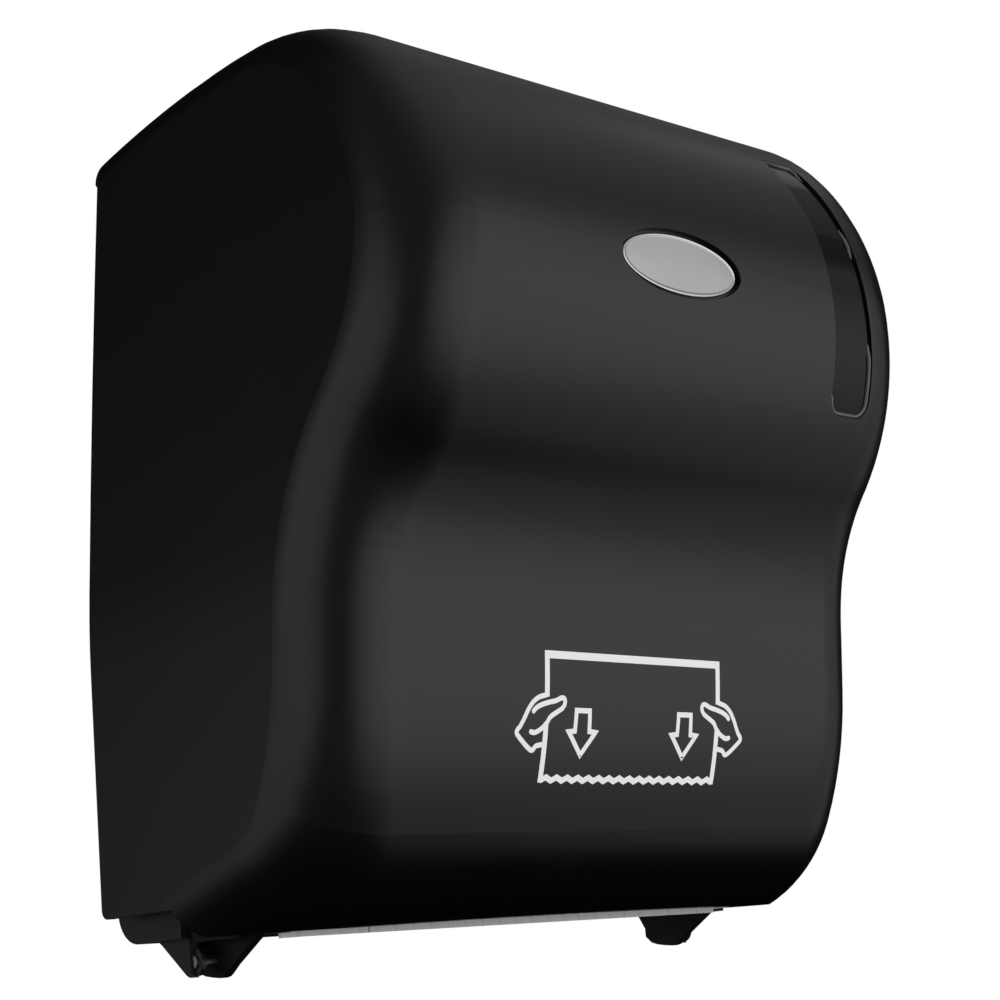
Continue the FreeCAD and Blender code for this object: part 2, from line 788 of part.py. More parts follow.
def make_drum():
    skin = drum_shell()
    upper = common("drum_upper", skin, half_space("upper_half", True))
    lower = common("drum_shell_plain", skin, half_space("lower_half", False))
    slot = drum_box("knife_slot", (-107.5, 107.5), ("-slot_half", "slot_half"), (30, 60))
    guides = [
        drum_box(f"knife_guide_{n}", (-103, 103), sorted_pair(side, 3.6, 5.2), (25, 43.8))
        for n, side in enumerate((-1, 1))
    ]
    slotted = fuse("drum_shell_slotted", cut("drum_upper_slotted", upper, slot), *guides)
    sub_part(slotted, "drum_shell_slotted")
    sub_part(lower, "drum_shell_plain")
    bore = drum_rod("cap_bore", "shaft_radius", -150, 150)
    cam_slot = drum_box("cam_slot", (-115, -105), (-1.8, 1.8), (28, 44))
    for side, name in ((-1, "drum_cap_left"), (1, "drum_cap_right")):
        disc = drum_rod(name + "_disc", "drum_radius - shell_thickness",
                        *sorted_pair(side, "(drum_half - cap_thickness)", "drum_half"))
        journal = drum_rod(name + "_journal", "journal_radius",
                           *sorted_pair(side, "drum_half", "journal_end"))
        tools = [bore, cam_slot] if side < 0 else [bore]
        sub_part(cut(name, fuse(name + "_body", disc, journal), *tools), name)
    sub_part(drum_rod("drum_shaft", "shaft_radius", -130, 142), "drum_shaft")
    bands = []
    for n in (-1, 0, 1):
        ring = tube(f"band_ring_{n}", "x", "band_radius", "band_floor",
                    f"{n} * band_pitch - band_width / 2", f"{n} * band_pitch + band_width / 2",
                    "drum_depth", "drum_height")
        gap = drum_box(f"band_gap_{n}", (-150, 150), ("-slot_half", "slot_half"), (30, 60))
        bands.append(cut(f"grip_band_{n}", ring, gap))
    sub_part(group("grip_bands", *bands), "grip_bands")


def sorted_pair(side, low, high):
    """The low and high ends of a stretch on one side of the middle, as expressions."""
    return (f"-{high}", f"-{low}") if side < 0 else (f"{low}", f"{high}")


def make_knife():
    half = size("knife_half")
    carriage = drum_box("carriage_bar", ("-knife_half", "knife_half"),
                        ("-carriage_half", "carriage_half"), ("carriage_low", "carriage_high"))
    arm = rod("carriage_pin", "x", 1.5, -117.6, -half, "drum_depth", "drum_height + roller_place")
    sub_part(fuse("knife_carriage", carriage, arm), "knife_carriage")
    pitch, depth = size("tooth_pitch"), size("tooth_depth")
    middle = size("drum_height")
    teeth = int(round(2 * half / pitch))
    top = middle + size("blade_high")
    points = [(-half, middle + size("blade_low")), (-half, top - depth)]
    for n in range(teeth):
        points += [(-half + (n + 0.5) * pitch, top), (-half + (n + 1) * pitch, top - depth)]
    points.append((half, middle + size("blade_low")))
    face = size("drum_depth") + size("carriage_half")
    blade = front_pad("serrated_knife", points, face, face + size("blade_thickness"))
    sub_part(blade, "serrated_knife")
    roller = tube("cam_roller", "x", "roller_radius", "1.5 + running_gap", -117, -113,
                  "drum_depth", "drum_height + roller_place")
    sub_part(roller, "cam_roller")
    track = tube("cam_track", "x", "roller_place - roller_radius - 0.2", 14, -117.9, -113.2,
                 "drum_depth", "drum_height")
    sub_part(track, "cam_track")
    sub_part(group("knife_springs", *[coil(f"knife_spring_{n}", Vector(x, -size("drum_depth"), middle + 6),
                                           Vector(0, 0, 1), 20.9, 1.8, 0.4, 7)
                                      for n, x in enumerate((-70, 70))]), "knife_springs")


def coil(name, start, direction, length, radius, wire, turns):
    """A wire wound round a line from start, length long."""
    helix = Part.makeHelix(length / turns, length - 2 * wire, radius)
    ring = Part.Wire(Part.makeCircle(wire, Vector(radius, 0, 0), Vector(0, 1, 0)))
    solid = Part.Wire(helix).makePipeShell([ring], True, True)
    thing = doc.addObject("Part::Feature", name)
    thing.Shape = solid
    thing.Placement = FreeCAD.Placement(start + direction * wire, Rotation(Vector(0, 0, 1), direction))
    return thing


def make_drum_bushes():
    for side, name in ((-1, "drum_bush_left"), (1, "drum_bush_right")):
        sleeve = tube(name, "x", "bush_outer", "journal_radius + running_gap",
                      *sorted_pair(side, 117.9, 122.5), "drum_depth", "drum_height")
        sub_part(sleeve, name)


def make_drive():
    """Crank disc and return spring on the left, hand feed knob on the right."""
    disc = drum_rod("crank_plate", 22, -130, -126)
    anchor = (58, 140)
    axis = (size("drum_depth"), size("drum_height"))
    reach = math.hypot(anchor[0] - axis[0], anchor[1] - axis[1])
    way = ((anchor[0] - axis[0]) / reach, (anchor[1] - axis[1]) / reach)
    stud_place = (axis[0] + 16 * way[0], axis[1] + 16 * way[1])
    stud = rod("crank_stud", "x", 2.5, -139.5, -130, *stud_place)
    bore = drum_rod("crank_bore", "shaft_radius", -140, -120)
    sub_part(cut("crank_disc", fuse("crank_body", disc, stud), bore), "crank_disc")
    post = rod("spring_anchor", "x", 3, -139.5, "-frame_inner - frame_thickness", *anchor)
    sub_part(post, "spring_anchor")
    start = Vector(-134.8, -stud_place[0], stud_place[1])
    end = Vector(-134.8, -anchor[0], anchor[1])
    run = end - start
    length = run.Length
    run.normalize()
    spring = coil("return_spring", start + run * 3.2, run, length - 7, 3.6, 0.6, 16)
    sub_part(spring, "return_spring")
    knob = doc.addObject("Part::Feature", "knob_wheel")
    knob.Shape = lobed_wheel(25, 1.6, 16, 12)
    knob.Placement = FreeCAD.Placement(Vector(126, -axis[0], axis[1]), TURNS["x"])
    hub = drum_rod("knob_hub", 10, 124.5, 142)
    hole = drum_rod("knob_bore", "shaft_radius", 120, 150)
    sub_part(cut("feed_knob", fuse("knob_body", knob, hub), hole), "feed_knob")


def lobed_wheel(radius, depth, lobes, width):
    """A wheel whose rim is a ring of round finger lobes."""
    wheel = Part.makeCylinder(radius, width)
    for n in range(lobes):
        centre = polar((0, 0), radius + 2.4 - depth, 360 * n / lobes)
        wheel = wheel.cut(Part.makeCylinder(2.4, width + 2, Vector(centre[0], centre[1], -1)))
    return wheel


# ---------------------------------------------------------------- paper path


def make_pinch():
    depth, height = pinch_centre()
    sub_part(rod("pinch_shaft", "x", "pinch_shaft_radius", -124, 124, depth, height), "pinch_shaft")
    rollers = [
        tube(f"pinch_roller_{n}", "x", "pinch_radius", "pinch_shaft_radius",
             f"{n} * band_pitch - pinch_width / 2", f"{n} * band_pitch + pinch_width / 2", depth, height)
        for n in (-1, 0, 1)
    ]
    sub_part(group("pinch_rollers", *rollers), "pinch_rollers")
    bushes = [
        tube(f"pinch_bush_{n}", "x", 6, "pinch_shaft_radius + running_gap",
             *sorted_pair(side, 117.9, 122.5), depth, height)
        for n, side in enumerate((-1, 1))
    ]
    sub_part(group("pinch_bushes", *bushes), "pinch_bushes")


def make_paper_guide():
    """A curved sheet round the lower rear of the drum, which turns the paper to the outlet."""
    centre = (-size("drum_depth"), size("drum_height"))
    start, end = -18, -74
    outer, inner = 52, 50
    edges = [
        arc(centre, outer, start, end),
        *open_chain([polar(centre, outer, end), polar(centre, inner, end)]),
        arc(centre, inner, end, start),
        *open_chain([polar(centre, inner, start), polar(centre, outer, start)]),
    ]
    sheet_metal = pad("paper_guide", "YZ_Plane", edges, "-frame_inner + 0.1", "frame_inner - 0.1")
    sub_part(sheet_metal, "paper_guide")


def make_chute():
    """The outlet's light lip, ribbed in the direction of the paper, and the wall behind the slot."""
    front = ("chute_front - chute_wall", "chute_front")
    lip = box("chute_lip", ("chute_left", "chute_right"), front, ("chute_low", 19.4))
    riser = box("chute_riser", ("chute_left", "chute_right"), front, (19, 30))
    whole_wing = pad("chute_whole_wing", "XY_Plane", polygon(chute_wing_corners()), "chute_low", 19.4)
    under_corner = box("chute_corner_clear", (-145, -136), (85, 105), (14.2, 25))
    wing = cut("chute_wing", whole_wing, under_corner)
    wall = box("chute_wall_rear", (-114, 114), ("chute_rear", "chute_rear + 2"), (14.4, 24.6))
    posts = [
        box(f"chute_post_{n}", sorted_pair(side, 113, 117.9), ("chute_rear", 98), (14.4, 30))
        for n, side in enumerate((-1, 1))
    ]
    behind = ("chute_front - 3.2", "chute_front - 1")
    bridges = [
        box("chute_bridge_left", (-117.9, "chute_left + 1"), behind, (20, 30)),
        box("chute_bridge_right", ("chute_right - 1", 117.9), behind, (20, 30)),
    ]
    sunk = size("rib_radius") - size("rib_height")
    rounds = [
        rod(f"chute_rib_{n}", "z", "rib_radius", "chute_low", 18.6, lip_front(across) - sunk, 0, across)
        for n, across in enumerate(rib_places())
    ]
    ahead = pad("chute_rib_zone", "XY_Plane", polygon(strip_corners(lip_corners(), 3, -1)), 0, 40)
    ribs = common("chute_ribs", fuse("chute_rib_rounds", *rounds), ahead)
    sub_part(fuse("outlet_chute", lip, riser, wing, wall, *posts, *bridges, ribs), "outlet_chute")


def lip_corners():
    """The lip's front from above; its left wing draws back inside the cover's corner."""
    front = size("chute_front")
    return [(size("chute_right"), front), (-128, front), (-131, front - 1), (-139.5, front - 4.2)]


def lip_front(across):
    """How far the lip stands from the wall at one place across."""
    corners = lip_corners()
    for (right, near), (left, far) in zip(corners, corners[1:]):
        if left <= across <= right:
            return far + (near - far) * (across - left) / (right - left)
    raise ValueError(f"the lip does not reach {across}")


def rib_places():
    """The ribs' places across, one pitch apart, clear of both ends of the lip."""
    corners, pitch, clear = lip_corners(), size("rib_pitch"), size("rib_radius") + 0.5
    first = math.ceil((corners[-1][0] + clear) / pitch)
    last = math.floor((corners[0][0] - clear) / pitch)
    return [n * pitch for n in range(first, last + 1)]


def strip_corners(outline, ahead, behind):
    """The band from above between two distances ahead of an outline of across and depth."""
    front = [(across, depth + ahead) for across, depth in outline]
    back = [(across, depth + behind) for across, depth in reversed(outline)]
    return [(across, -depth) for across, depth in front + back]


def chute_wing_corners():
    outline = [(size("chute_left") - 0.8, size("chute_front")), *lip_corners()[1:]]
    return strip_corners(outline, 0, -size("chute_wall"))


# ---------------------------------------------------------------- roll holder


def make_roll_holder():
    low, high = 250.3, 281.7
    pivot = 117.5
    depth = size("arm_pivot_depth")
    hub = size("hub_depth")
    centre = size("arm_height")
    inner = size("arm_inner")
    outer = inner + size("arm_thickness")
    base = box("bracket_base", (109, 127), (3, 5.5), (246, 286))
    ears = [
        box(f"arm_ear_{n}", (112, 123), (3, 18), (h, f"{h} + 4"))
        for n, h in enumerate((246, 282))
    ]
    pin_hole = rod("arm_pin_hole", "z", 2, 240, 292, depth, 0, pivot)
    bracket = cut("arm_bracket_right", fuse("arm_bracket_body", base, *ears), pin_hole)
    sub_part(bracket, "arm_bracket_right")
    sub_part(mirrored("arm_bracket_left", bracket), "arm_bracket_left")
    pin = rod("arm_pin_right", "z", 2, 244.5, 287.5, depth, 0, pivot)
    sub_part(group("arm_pins", pin, mirrored("arm_pin_left", pin)), "arm_pins")
    knuckle = rod("arm_knuckle", "z", 5, low, high, depth, 0, pivot)
    points = [(depth + 2, low + 1), (depth + 2, high - 1), (hub, centre + 14), (hub, centre - 14)]
    blade = side_pad("arm_blade", points, inner, outer)
    end = rod("arm_end", "x", 14, inner, outer, hub, centre)
    pin_run = rod("arm_pin_run", "z", "2 + running_gap", 240, 292, depth, 0, pivot)
    hub_run = rod("arm_hub_run", "x", "hub_shaft_radius + running_gap", 100, 130, hub, centre)
    arm = cut("roll_arm_right", fuse("arm_body", knuckle, blade, end), pin_run, hub_run)
    sub_part(arm, "roll_arm_right")
    sub_part(mirrored("roll_arm_left", arm), "roll_arm_left")
    flange = rod("hub_flange", "x", 23, 113, 115.7, hub, centre)
    plug = doc.addObject("Part::Cone", "hub_plug")
    plug.Placement.Rotation = TURNS["x"]
    bind(plug, "Radius1", 15)
    bind(plug, "Radius2", 17.5)
    bind(plug, "Height", 14)
    put(plug, 99, hub, centre)
    stub = rod("hub_stub", "x", "hub_shaft_radius", 113, 121, hub, centre)
    head = rod("hub_head", "x", 7, 119.3, 121.5, hub, centre)
    hollow = rod("hub_hollow", "x", 11, 90, 111, hub, centre)
    wheel = cut("roll_hub_right", fuse("hub_body", flange, plug, stub, head), hollow)
    sub_part(wheel, "roll_hub_right")
    sub_part(mirrored("roll_hub_left", wheel), "roll_hub_left")


# ---------------------------------------------------------------- cover lock


def make_lock():
    housing = tube("lock_housing", "z", "lock_housing_radius", "lock_barrel_radius + running_gap",
                   351, "lock_housing_top", "lock_depth", 0, 0)
    sub_part(housing, "lock_housing")
    barrel = rod("lock_core", "z", "lock_barrel_radius", "lock_arm_top", "lock_top", "lock_depth", 0, 0)
    key = box("key_slot", (-1.2, 1.2), ("lock_depth - 4.5", "lock_depth + 4.5"),
              ("lock_top - 6", "lock_top + 2"))
    sub_part(cut("lock_barrel", barrel, key), "lock_barrel")
    arm = box("cam_arm", (-2.5, 2.5), ("lock_depth - 22", "lock_depth + 2.5"),
              ("lock_arm_low", "lock_arm_top"))
    boss = rod("cam_boss", "z", 6, "lock_arm_low", "lock_arm_top", "lock_depth", 0, 0)
    sub_part(fuse("lock_cam", arm, boss), "lock_cam")


# ---------------------------------------------------------------- build, check and write

for make in (
    make_cover, make_window, make_nameplate, make_chassis, make_hinge_brackets, make_side_frames,
    make_frame_screws, make_tie_bars, make_drum, make_knife, make_drum_bushes, make_drive, make_pinch,
    make_paper_guide, make_chute, make_roll_holder, make_lock,
):
    make()
doc.recompute()

for thing in doc.Objects:
    bad = {"Invalid", "Error"} & set(thing.State)
    if bad:
        raise RuntimeError(f"{thing.Name} failed: {sorted(bad)}")

os.makedirs("parts", exist_ok=True)
lift = Vector(0, 0, size("foot_level"))
for thing in SUB_PARTS:
    shape = thing.Shape.copy()
    if shape.isNull() or not shape.isValid() or shape.Volume < 1:
        raise RuntimeError(f"{thing.Label} has no valid shape")
    shape.translate(lift)
    shape.exportStep(f"parts/{thing.Label}.step")
    print(f"{thing.Label:22s} {len(shape.Solids):2d} solids {shape.Volume / 1000:9.2f} cm3")
print(len(SUB_PARTS), "sub-parts")
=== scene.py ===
"""Looks of the wall-hung mechanical towel dispenser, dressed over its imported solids.

Everything is in metres, in the solids' frame: X to the right, Y into the wall, Z up, with the
origin in the middle of the four wall screws. Sizes below are in millimetres, and heights in them
are counted from the feet.
"""
import math

import bmesh
import bpy
from mathutils import Matrix, Vector


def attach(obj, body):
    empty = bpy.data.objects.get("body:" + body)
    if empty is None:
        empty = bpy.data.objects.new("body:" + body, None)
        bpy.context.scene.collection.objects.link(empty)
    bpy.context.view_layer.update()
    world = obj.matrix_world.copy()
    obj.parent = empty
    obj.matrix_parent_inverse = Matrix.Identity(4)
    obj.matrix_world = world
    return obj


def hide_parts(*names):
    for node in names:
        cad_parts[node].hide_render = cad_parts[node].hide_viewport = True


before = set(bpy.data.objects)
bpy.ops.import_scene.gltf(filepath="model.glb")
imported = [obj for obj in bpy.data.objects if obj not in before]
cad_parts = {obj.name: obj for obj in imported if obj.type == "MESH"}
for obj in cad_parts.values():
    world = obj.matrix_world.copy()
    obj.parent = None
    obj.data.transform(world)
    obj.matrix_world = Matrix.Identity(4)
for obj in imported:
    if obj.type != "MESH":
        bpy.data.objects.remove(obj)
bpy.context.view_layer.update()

FOOT_LEVEL = -0.190
MM = 0.001
# Where rays start that look for a surface from the front, ahead of the whole object.
AHEAD = -0.3


def above_feet(height_mm):
    return FOOT_LEVEL + height_mm * MM


# ---------------------------------------------------------------- camera

CAMERA_PLACE = (-0.6693, -0.7900, -0.2066)
CAMERA_TURN = 43.815
CAMERA_LOOKS_UP = 12.554
CAMERA_ROLL = -5.038
LENS = 79.91
SENSOR = 36


def make_camera():
    camera = bpy.data.objects.new("camera", bpy.data.cameras.new("camera"))
    bpy.context.scene.collection.objects.link(camera)
    camera.data.lens = LENS
    camera.data.sensor_width = SENSOR
    camera.data.clip_start = 0.05
    turn = Matrix.Rotation(math.radians(-CAMERA_TURN), 4, "Z")
    tilt = Matrix.Rotation(math.radians(90 + CAMERA_LOOKS_UP), 4, "X")
    roll = Matrix.Rotation(math.radians(CAMERA_ROLL), 4, "Z")
    camera.matrix_world = Matrix.Translation(CAMERA_PLACE) @ turn @ tilt @ roll
    bpy.context.scene.camera = camera


# ---------------------------------------------------------------- material tools


def linear(colour):
    """An sRGB hex colour, as linear red, green, blue and alpha."""
    channels = [int(colour[i:i + 2], 16) / 255 for i in (1, 3, 5)]
    return tuple(c / 12.92 if c <= 0.04045 else ((c + 0.055) / 1.055) ** 2.4 for c in channels) + (1.0,)


def add(tree, kind, values=None, links=None, **settings):
    """Adds one node with its settings, its sockets' values and what feeds its other sockets."""
    node = tree.nodes.new("ShaderNode" + kind)
    for name, value in settings.items():
        setattr(node, name, value)
    for socket, value in (values or {}).items():
        node.inputs[socket].default_value = value
    connect(tree, node, links or {})
    return node


def connect(tree, node, links):
    """Links each named socket of a node to what feeds it: a socket, or a node's first output."""
    for socket, source in links.items():
        tree.links.new(getattr(source, "outputs", [source])[0], node.inputs[socket])


def per_mm(size_mm):
    """A noise scale at which one grain is size_mm wide."""
    return 1 / (size_mm * MM)


def start_finish(name, settings):
    """A new material with its shader set: the material, its tree, its shader and places on the object."""
    material = bpy.data.materials.new(name)
    material.use_nodes = True
    tree = material.node_tree
    shader = tree.nodes["Principled BSDF"]
    for socket, value in settings.items():
        shader.inputs[socket].default_value = value
    return material, tree, shader, add(tree, "TexCoord").outputs["Object"]


# ---------------------------------------------------------------- materials


def moulded_black_abs():
    """ABS moulded in a spark-eroded tool: jet black and satin, with broad soft reflections.

    The real grain is about 0.1 mm. It is drawn at 0.5 mm so that it shows in a close view.
    """
    material, tree, shader, place = start_finish("moulded_black_abs", {"IOR": 1.53})
    grain = add(tree, "TexNoise", {"Scale": per_mm(0.5), "Detail": 3}, {"Vector": place})
    cloud = add(tree, "TexNoise", {"Scale": per_mm(60)}, {"Vector": place})
    shade = add(tree, "Mix", {6: linear("#030303"), 7: linear("#060606")}, {0: cloud}, data_type="RGBA")
    gloss = add(tree, "MapRange", {"To Min": 0.27, "To Max": 0.33}, {"Value": grain})
    bumps = add(tree, "Bump", {"Strength": 0.5, "Distance": 0.003 * MM}, {"Height": grain})
    connect(tree, shader, {"Base Color": shade.outputs[2], "Roughness": gloss, "Normal": bumps})
    return material


def moulded_frame_abs():
    """The same black ABS on the frame: from a plainer tool, so a little greyer and duller."""
    material, tree, shader, place = start_finish("moulded_frame_abs", {"IOR": 1.53})
    grain = add(tree, "TexNoise", {"Scale": per_mm(0.9), "Detail": 3}, {"Vector": place})
    shade = add(tree, "Mix", {6: linear("#0e0e0f"), 7: linear("#141415")}, {0: grain}, data_type="RGBA")
    gloss = add(tree, "MapRange", {"To Min": 0.38, "To Max": 0.46}, {"Value": grain})
    bumps = add(tree, "Bump", {"Strength": 1.0, "Distance": 0.01 * MM}, {"Height": grain})
    connect(tree, shader, {"Base Color": shade.outputs[2], "Roughness": gloss, "Normal": bumps})
    return material


def black_nylon():
    """Glass-filled nylon of the hinge tabs: coal black and dull, with a fine dry grain."""
    material, tree, shader, place = start_finish("black_nylon", {"IOR": 1.54, "Specular IOR Level": 0.3})
    fibres = add(tree, "TexNoise", {"Scale": per_mm(0.7), "Detail": 3, "Distortion": 0.5}, {"Vector": place})
    shade = add(tree, "Mix", {6: linear("#040404"), 7: linear("#090909")}, {0: fibres}, data_type="RGBA")
    gloss = add(tree, "MapRange", {"To Min": 0.5, "To Max": 0.6}, {"Value": fibres})
    bumps = add(tree, "Bump", {"Strength": 1.0, "Distance": 0.01 * MM}, {"Height": fibres})
    connect(tree, shader, {"Base Color": shade.outputs[2], "Roughness": gloss, "Normal": bumps})
    return material


def smoked_polycarbonate():
    """Polished polycarbonate with a smoke tint: almost black, with sharp, weak reflections."""
    material, tree, shader, place = start_finish(
        "smoked_polycarbonate", {"IOR": 1.58, "Specular IOR Level": 0.06, "Transmission Weight": 0.3})
    flow = add(tree, "TexNoise", {"Scale": per_mm(25)}, {"Vector": place})
    shade = add(tree, "Mix", {6: linear("#0a0a0b"), 7: linear("#101012")}, {0: flow}, data_type="RGBA")
    gloss = add(tree, "MapRange", {"To Min": 0.04, "To Max": 0.07}, {"Value": flow})
    connect(tree, shader, {"Base Color": shade.outputs[2], "Roughness": gloss})
    return material


def pane_edge_painted_highlight():
    """The pane's rim in a pale grey: a painted highlight for the light lines that its rounded edge catches.
    """
    material, tree, shader, place = start_finish("pane_edge_painted_highlight", {"IOR": 1.58})
    frost = add(tree, "TexNoise", {"Scale": per_mm(0.8), "Detail": 2}, {"Vector": place})
    # Painted highlight: the pale grey stands for light caught along the pane's rim.
    shade = add(tree, "Mix", {6: linear("#4c4d50"), 7: linear("#5e5f62")}, {0: frost}, data_type="RGBA")
    gloss = add(tree, "MapRange", {"To Min": 0.16, "To Max": 0.24}, {"Value": frost})
    connect(tree, shader, {"Base Color": shade.outputs[2], "Roughness": gloss})
    return material


def satin_aluminium():
    """Aluminium blasted with fine beads and anodised: an even silver with a soft, dry shine.

    The bead marks are about 0.05 mm. They are drawn at 0.4 mm.
    """
    material, tree, shader, place = start_finish("satin_aluminium", {"Metallic": 1.0})
    beads = add(tree, "TexNoise", {"Scale": per_mm(0.4), "Detail": 2}, {"Vector": place})
    shade = add(tree, "Mix", {6: linear("#c4c5c7"), 7: linear("#d2d3d5")}, {0: beads}, data_type="RGBA")
    gloss = add(tree, "MapRange", {"To Min": 0.36, "To Max": 0.44}, {"Value": beads})
    bumps = add(tree, "Bump", {"Strength": 1.0, "Distance": 0.004 * MM}, {"Height": beads})
    connect(tree, shader, {"Base Color": shade.outputs[2], "Roughness": gloss, "Normal": bumps})
    return material


def polished_aluminium():
    """The plate's rim, cut bright with a diamond tool after anodising."""
    material, tree, shader, place = start_finish("polished_aluminium", {"Metallic": 1.0})
    lines = add(tree, "TexNoise", {"Scale": per_mm(0.4)}, {"Vector": place})
    shade = add(tree, "Mix", {6: linear("#dfe0e2"), 7: linear("#ececee")}, {0: lines}, data_type="RGBA")
    gloss = add(tree, "MapRange", {"To Min": 0.12, "To Max": 0.2}, {"Value": lines})
    connect(tree, shader, {"Base Color": shade.outputs[2], "Roughness": gloss})
    return material


def zinc_plated_steel():
    """Steel with bright zinc: cool grey, with a faint cloudy bloom in the plating."""
    material, tree, shader, place = start_finish("zinc_plated_steel", {"Metallic": 1.0})
    bloom = add(tree, "TexNoise", {"Scale": per_mm(4), "Detail": 3}, {"Vector": place})
    shade = add(tree, "Mix", {6: linear("#9fa3a8"), 7: linear("#bcc0c5")}, {0: bloom}, data_type="RGBA")
    gloss = add(tree, "MapRange", {"To Min": 0.24, "To Max": 0.38}, {"Value": bloom})
    connect(tree, shader, {"Base Color": shade.outputs[2], "Roughness": gloss})
    return material


def stainless_blade_steel():
    """Rolled stainless strip: fine lines along the blade from the mill, about 0.3 mm apart."""
    material, tree, shader, place = start_finish("stainless_blade_steel", {"Metallic": 1.0})
    along = add(tree, "Mapping", {"Scale": (0.02, 1, 1)}, {"Vector": place})
    lines = add(tree, "TexNoise", {"Scale": per_mm(0.3), "Detail": 2}, {"Vector": along})
    shade = add(tree, "Mix", {6: linear("#b4b6b8"), 7: linear("#d4d6d8")}, {0: lines}, data_type="RGBA")
    gloss = add(tree, "MapRange", {"To Min": 0.16, "To Max": 0.3}, {"Value": lines})
    bumps = add(tree, "Bump", {"Strength": 1.0, "Distance": 0.004 * MM}, {"Height": lines})
    connect(tree, shader, {"Base Color": shade.outputs[2], "Roughness": gloss, "Normal": bumps})
    return material


def light_grey_abs():
    """Light grey ABS of the paper path, spark-eroded to a matt grain so that paper doesn't cling."""
    material, tree, shader, place = start_finish("light_grey_abs", {"IOR": 1.53})
    grain = add(tree, "TexNoise", {"Scale": per_mm(0.6), "Detail": 3}, {"Vector": place})
    shade = add(tree, "Mix", {6: linear("#b6b8b8"), 7: linear("#c4c6c6")}, {0: grain}, data_type="RGBA")
    gloss = add(tree, "MapRange", {"To Min": 0.42, "To Max": 0.55}, {"Value": grain})
    bumps = add(tree, "Bump", {"Strength": 1.0, "Distance": 0.008 * MM}, {"Height": grain})
    connect(tree, shader, {"Base Color": shade.outputs[2], "Roughness": gloss, "Normal": bumps})
    return material


def dark_grey_nylon():
    """Glass-filled nylon: dark grey, with short pale fibres that swirl where the melt flowed."""
    material, tree, shader, place = start_finish("dark_grey_nylon", {"IOR": 1.54})
    along = add(tree, "Mapping", {"Scale": (0.25, 1, 1)}, {"Vector": place})
    fibres = add(tree, "TexNoise", {"Scale": per_mm(0.8), "Detail": 3, "Distortion": 0.6}, {"Vector": along})
    shade = add(tree, "Mix", {6: linear("#3a3b3d"), 7: linear("#4e4f52")}, {0: fibres}, data_type="RGBA")
    gloss = add(tree, "MapRange", {"To Min": 0.4, "To Max": 0.55}, {"Value": fibres})
    bumps = add(tree, "Bump", {"Strength": 1.0, "Distance": 0.008 * MM}, {"Height": fibres})
    connect(tree, shader, {"Base Color": shade.outputs[2], "Roughness": gloss, "Normal": bumps})
    return material


def natural_acetal():
    """Unpigmented acetal: milky white and slightly waxy, as light enters it."""
    material, tree, shader, place = start_finish(
        "natural_acetal", {"IOR": 1.48, "Subsurface Weight": 0.15, "Subsurface Scale": 0.002})
    swirl = add(tree, "TexNoise", {"Scale": per_mm(6), "Detail": 2}, {"Vector": place})
    shade = add(tree, "Mix", {6: linear("#dcdbd2"), 7: linear("#e8e7df")}, {0: swirl}, data_type="RGBA")
    gloss = add(tree, "MapRange", {"To Min": 0.28, "To Max": 0.38}, {"Value": swirl})
    connect(tree, shader, {"Base Color": shade.outputs[2], "Roughness": gloss})
    return material


def ground_rubber():
    """Vulcanised rubber ground to size: matt charcoal, with the wheel's scratches round it."""
    material, tree, shader, place = start_finish("ground_rubber", {"IOR": 1.52})
    around = add(tree, "Mapping", {"Scale": (1, 0.2, 0.2)}, {"Vector": place})
    scratches = add(tree, "TexNoise", {"Scale": per_mm(0.5), "Detail": 2}, {"Vector": around})
    shade = add(tree, "Mix", {6: linear("#232323"), 7: linear("#2f2f2f")}, {0: scratches}, data_type="RGBA")
    gloss = add(tree, "MapRange", {"To Min": 0.7, "To Max": 0.85}, {"Value": scratches})
    bumps = add(tree, "Bump", {"Strength": 1.0, "Distance": 0.02 * MM}, {"Height": scratches})
    connect(tree, shader, {"Base Color": shade.outputs[2], "Roughness": gloss, "Normal": bumps})
    return material


def moulded_green_abs():
    """The feed knob's green ABS, moulded glossy: the colour marks what a hand may turn."""
    material, tree, shader, place = start_finish("moulded_green_abs", {"IOR": 1.53})
    flow = add(tree, "TexNoise", {"Scale": per_mm(8), "Detail": 2}, {"Vector": place})
    shade = add(tree, "Mix", {6: linear("#1c6b45"), 7: linear("#247a50")}, {0: flow}, data_type="RGBA")
    gloss = add(tree, "MapRange", {"To Min": 0.2, "To Max": 0.28}, {"Value": flow})
    connect(tree, shader, {"Base Color": shade.outputs[2], "Roughness": gloss})
    return material


def nickel_plated_zinc():
    """Die-cast zinc with nickel: a warm silver, softly rippled by the casting below."""
    material, tree, shader, place = start_finish("nickel_plated_zinc", {"Metallic": 1.0})
    ripple = add(tree, "TexNoise", {"Scale": per_mm(3), "Detail": 2}, {"Vector": place})
    shade = add(tree, "Mix", {6: linear("#b3aea4"), 7: linear("#cac5ba")}, {0: ripple}, data_type="RGBA")
    gloss = add(tree, "MapRange", {"To Min": 0.18, "To Max": 0.3}, {"Value": ripple})
    bumps = add(tree, "Bump", {"Strength": 1.0, "Distance": 0.01 * MM}, {"Height": ripple})
    connect(tree, shader, {"Base Color": shade.outputs[2], "Roughness": gloss, "Normal": bumps})
    return material


def white_screen_ink():
    """Baked screen ink: opaque white, a touch thinner where the mesh's threads lay, 0.4 mm apart."""
    material, tree, shader, place = start_finish("white_screen_ink", {"IOR": 1.5})
    threads = add(tree, "TexNoise", {"Scale": per_mm(0.4)}, {"Vector": place})
    shade = add(tree, "Mix", {6: linear("#f4f4f4"), 7: linear("#fdfdfd")}, {0: threads}, data_type="RGBA")
    gloss = add(tree, "MapRange", {"To Min": 0.45, "To Max": 0.55}, {"Value": threads})
    connect(tree, shader, {"Base Color": shade.outputs[2], "Roughness": gloss})
    return material


